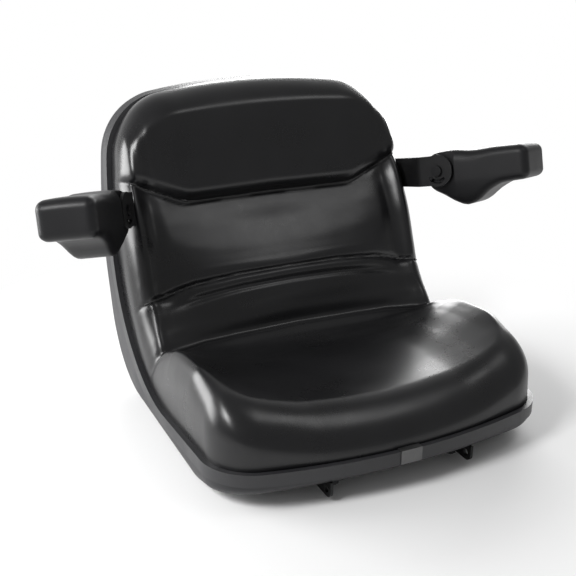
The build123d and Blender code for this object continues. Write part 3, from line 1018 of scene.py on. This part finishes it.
@dataclass(frozen=True)
class Hardware:
    """Finishes for the pieces that keep their CAD shape."""

    pan: PaintedSteel = PaintedSteel("pan_paint", (0.022, 0.022, 0.024), 0.42)
    bracket: PaintedSteel = PaintedSteel("bracket_paint", (0.006, 0.006, 0.0065), 0.55)
    zinc: PlatedSteel = PlatedSteel("black_zinc_plate", (0.03, 0.03, 0.031), 0.45)
    clip: PlatedSteel = PlatedSteel("clip_steel", (0.17, 0.17, 0.17), 0.42)
    trim: MouldedPlastic = MouldedPlastic("trim_vinyl", (0.022, 0.022, 0.024), 0.42, 900.0)
    nylon: MouldedPlastic = MouldedPlastic("bush_nylon", (0.62, 0.6, 0.55), 0.5, 700.0)
    cap: MouldedPlastic = MouldedPlastic("cap_plastic", (0.02, 0.02, 0.021), 0.45, 800.0)

    def by_slot(self) -> dict[str, bpy.types.Material]:
        """A material for every slot of the hard pieces."""
        return {
            "pan_paint": self.pan.material(),
            "bracket_paint": self.bracket.material(),
            "zinc_steel": self.zinc.material(),
            "clip_steel": self.clip.material(),
            "trim_vinyl": self.trim.material(),
            "bush_nylon": self.nylon.material(),
            "cap_plastic": self.cap.material(),
        }

    def dress_up(self, frame: dict) -> None:
        """Gives every CAD node that still shows the finish of its slot."""
        finishes = self.by_slot()
        for entry in frame["record"]["subparts"]:
            slot = entry["material_slot"]
            if slot in finishes:
                dress(frame["nodes"][entry["node"]], finishes[slot])
                LOG.info("%s: %s", entry["node"], slot)


@dataclass(frozen=True)
class SoftLight:
    """One large soft lamp."""

    name: str
    place: tuple
    aim: tuple
    size: tuple
    power: float

    def build(self) -> None:
        """Adds the lamp."""
        lamp = bpy.data.lights.new(self.name, "AREA")
        lamp.shape = "RECTANGLE"
        lamp.size, lamp.size_y = self.size
        lamp.energy = self.power
        obj = bpy.data.objects.new(self.name, lamp)
        obj.location = self.place
        obj.rotation_euler = (Vector(self.aim) - Vector(self.place)).to_track_quat("-Z", "Y").to_euler()
        bpy.context.scene.collection.objects.link(obj)


@dataclass
class Studio:
    """White studio: pale floor, white surround, soft lamps and the photo's camera."""

    floor_z: float = -18.2
    floor_half: float = 6.0
    floor_dark: tuple = (0.90, 0.90, 0.90, 1.0)
    floor_light: tuple = (0.93, 0.93, 0.93, 1.0)
    floor_cloud: float = 0.7
    floor_span: tuple = (0.3, 0.7)
    floor_rough: float = 0.9
    camera_place: tuple = (-651.8, -1011.2, 751.9)
    camera_yaw: float = 0.4418
    camera_pitch: float = -0.3828
    camera_roll: float = 0.0058
    lens: float = 62.17
    sensor: float = 36.0
    nearest: float = 0.05
    fill: float = 0.3
    backdrop_span: tuple = (0.45, 0.95)
    middle: tuple = (0.0, 0.25, 0.0)
    floor_fade: tuple = (0.42, 0.8)
    lamps: tuple = (
        SoftLight("back_right", (1.28, 1.98, 0.6), (0.2, 0.12, 0.12), (1.8, 1.0), 50.0),
        SoftLight("back_left", (-1.7, 1.2, 0.5), (-0.25, 0.1, 0.1), (1.2, 0.9), 38.0),
        SoftLight("left", (-1.45, -0.25, 1.45), (-0.35, 0.2, 0.3), (0.6, 0.6), 26.0),
        SoftLight("key", (0.77, -0.48, 1.99), (0.03, 0.4, 0.22), (0.8, 0.5), 3.6),
    )

    def floor(self) -> None:
        """A wide pale floor that keeps the shadow near the seat and goes to plain white further out."""
        bm = bmesh.new()
        bmesh.ops.create_grid(bm, x_segments=1, y_segments=1, size=self.floor_half)
        bmesh.ops.translate(bm, vec=(0.0, 0.0, self.floor_z * MM), verts=bm.verts)
        obj = finished_object("studio_floor", bm)
        graph = Graph.of_material("pale_floor")
        cloud = graph.noise(self.floor_cloud, detail=2.0)
        colour = graph.ramp(cloud, *self.floor_span, self.floor_dark, self.floor_light)
        sockets = {"Base Color": colour, "Roughness": self.floor_rough}
        matt = graph.add("ShaderNodeBsdfPrincipled", {}, sockets, "BSDF")
        white = graph.add("ShaderNodeEmission", {}, {"Color": WHITE, "Strength": 1.0})
        ends = {0: graph.places(), 1: self.middle}
        offset = graph.add("ShaderNodeVectorMath", {"operation": "SUBTRACT"}, ends)
        far = graph.add("ShaderNodeVectorMath", {"operation": "LENGTH"}, {0: offset}, "Value")
        camera, glossy = graph.looked_at()
        share = graph.span(far, *self.floor_fade, 0.0, 1.0) * (camera + glossy)
        dress(obj, graph.close(graph.add("ShaderNodeMixShader", {}, {0: share, 1: matt, 2: white})))

    def surround(self) -> None:
        """A white backdrop to look at, also in gloss, and a softer light from all round."""
        world = bpy.data.worlds.new("studio")
        bpy.context.scene.world = world
        graph = Graph(world, "ShaderNodeOutputWorld")
        white = graph.add("ShaderNodeBackground", {}, {"Color": WHITE, "Strength": 1.0})
        soft = graph.add("ShaderNodeBackground", {}, {"Color": WHITE, "Strength": self.fill})
        ray = graph.add("ShaderNodeTexCoord", {}, {}, "Generated")
        ahead = (math.sin(self.camera_yaw), math.cos(self.camera_yaw), 0.0)
        towards = graph.add("ShaderNodeVectorMath", {"operation": "DOT_PRODUCT"}, {0: ray, 1: ahead}, "Value")
        camera, glossy = graph.looked_at()
        share = camera + glossy * graph.span(towards, *self.backdrop_span, 0.0, 1.0)
        graph.close(graph.add("ShaderNodeMixShader", {}, {0: share, 1: soft, 2: white}))

    def camera(self) -> None:
        """The photo's camera."""
        data = bpy.data.cameras.new("photo_camera")
        data.lens = self.lens
        data.sensor_width = self.sensor
        data.clip_start = self.nearest
        obj = bpy.data.objects.new("photo_camera", data)
        obj.location = Vector(self.camera_place) * MM
        yaw = Matrix.Rotation(-self.camera_yaw, 4, "Z")
        pitch = Matrix.Rotation(math.pi / 2 + self.camera_pitch, 4, "X")
        roll = Matrix.Rotation(self.camera_roll, 4, "Z")
        obj.rotation_euler = (yaw @ pitch @ roll).to_euler()
        bpy.context.scene.collection.objects.link(obj)
        bpy.context.scene.camera = obj

    def build(self) -> None:
        """Sets up floor, surround, lamps and camera."""
        self.floor()
        self.surround()
        for lamp in self.lamps:
            lamp.build()
        self.camera()
        bpy.context.scene.view_settings.view_transform = "Standard"


def main() -> None:
    """Builds the dressed seat in its studio."""
    logging.basicConfig(level=logging.INFO, format="%(message)s")
    for obj in list(bpy.data.objects):
        bpy.data.objects.remove(obj)
    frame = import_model()
    Hardware().dress_up(frame)
    Upholstery().dress_up()
    Studio().build()


if __name__ == "__main__":
    main()
